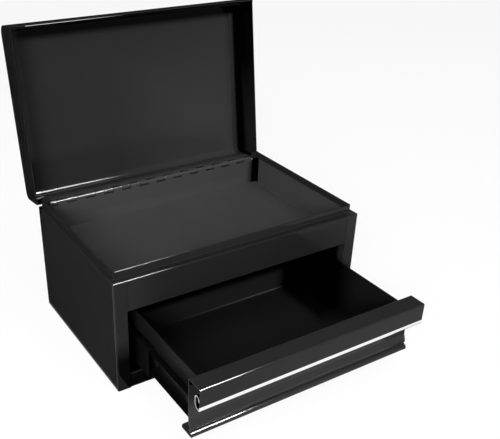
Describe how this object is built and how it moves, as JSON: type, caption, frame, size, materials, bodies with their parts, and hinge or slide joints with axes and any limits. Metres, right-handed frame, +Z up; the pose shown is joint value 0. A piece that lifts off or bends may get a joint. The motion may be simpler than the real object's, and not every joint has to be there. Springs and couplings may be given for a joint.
{
  "type": "portable tool box",
  "caption": "Small black sheet-steel tool chest with a hinged lid over a top tray and one drawer on ball-bearing slides, with a full-width pull.",
  "frame": {"origin": "centre of the cabinet's underside, between its outside faces", "axes": "+X to the right seen from the front, -Y to the front where the drawer comes out, +Z up"},
  "size_m": [0.33, 0.4179, 0.3489],
  "materials": {
    "black_paint": "satin gloss powder coat",
    "bright_trim": "bright",
    "coated_steel": "black electro-coat",
    "cage_steel": "bright zinc",
    "bare_steel": "polished",
    "stop_rubber": "matt"
  },
  "bodies": {
    "cabinet": {"left_side": "black_paint", "right_side": "black_paint", "front_fascia": "black_paint", "back_panel": "black_paint", "bottom_panel": "black_paint", "tray_pan": "black_paint", "left_slide_bracket": "black_paint", "right_slide_bracket": "black_paint", "hinge_body_leaf": "black_paint", "hinge_pin": "bare_steel", "left_slide_outer": "coated_steel", "right_slide_outer": "coated_steel", "slide_rivets": "bare_steel", "slide_stops": "stop_rubber"},
    "lid": {"lid_panel": "black_paint", "lid_left_end": "black_paint", "lid_right_end": "black_paint", "hinge_lid_leaf": "black_paint"},
    "drawer": {"drawer_pan": "black_paint", "drawer_front": "black_paint", "pull_trim": "bright_trim", "left_slide_inner": "coated_steel", "right_slide_inner": "coated_steel", "drawer_rivets": "bare_steel"},
    "left_middle": {"left_slide_middle": "coated_steel"},
    "left_outer_bearing": {"left_outer_cage": "cage_steel", "left_outer_balls": "bare_steel"},
    "left_inner_bearing": {"left_inner_cage": "cage_steel", "left_inner_balls": "bare_steel"},
    "right_middle": {"right_slide_middle": "coated_steel"},
    "right_outer_bearing": {"right_outer_cage": "cage_steel", "right_outer_balls": "bare_steel"},
    "right_inner_bearing": {"right_inner_cage": "cage_steel", "right_inner_balls": "bare_steel"}
  },
  "joints": [
    {"name": "lid_hinge", "type": "hinge", "parent": "cabinet", "child": "lid", "pos_m": [0, 0.10625, 0.1395], "axis": [-1, 0, 0], "range_deg": [-97.8, 0]},
    {"name": "drawer_slide", "type": "slide", "parent": "cabinet", "child": "drawer", "axis": [0, -1, 0], "range_m": [-0.135, 0]},
    {"name": "left_middle_slide", "type": "slide", "parent": "cabinet", "child": "left_middle", "axis": [0, -1, 0], "range_m": [-0.06751, 0]},
    {"name": "left_outer_bearing_slide", "type": "slide", "parent": "cabinet", "child": "left_outer_bearing", "axis": [0, -1, 0], "range_m": [-0.03376, 0]},
    {"name": "left_inner_bearing_slide", "type": "slide", "parent": "cabinet", "child": "left_inner_bearing", "axis": [0, -1, 0], "range_m": [-0.10126, 0]},
    {"name": "right_middle_slide", "type": "slide", "parent": "cabinet", "child": "right_middle", "axis": [0, -1, 0], "range_m": [-0.06751, 0]},
    {"name": "right_outer_bearing_slide", "type": "slide", "parent": "cabinet", "child": "right_outer_bearing", "axis": [0, -1, 0], "range_m": [-0.03376, 0]},
    {"name": "right_inner_bearing_slide", "type": "slide", "parent": "cabinet", "child": "right_inner_bearing", "axis": [0, -1, 0], "range_m": [-0.10126, 0]}
  ],
  "couplings": [
    {"joint": "left_middle_slide", "follows": "drawer_slide", "ratio": 0.5},
    {"joint": "left_outer_bearing_slide", "follows": "drawer_slide", "ratio": 0.25},
    {"joint": "left_inner_bearing_slide", "follows": "drawer_slide", "ratio": 0.75},
    {"joint": "right_middle_slide", "follows": "drawer_slide", "ratio": 0.5},
    {"joint": "right_outer_bearing_slide", "follows": "drawer_slide", "ratio": 0.25},
    {"joint": "right_inner_bearing_slide", "follows": "drawer_slide", "ratio": 0.75}
  ]
}
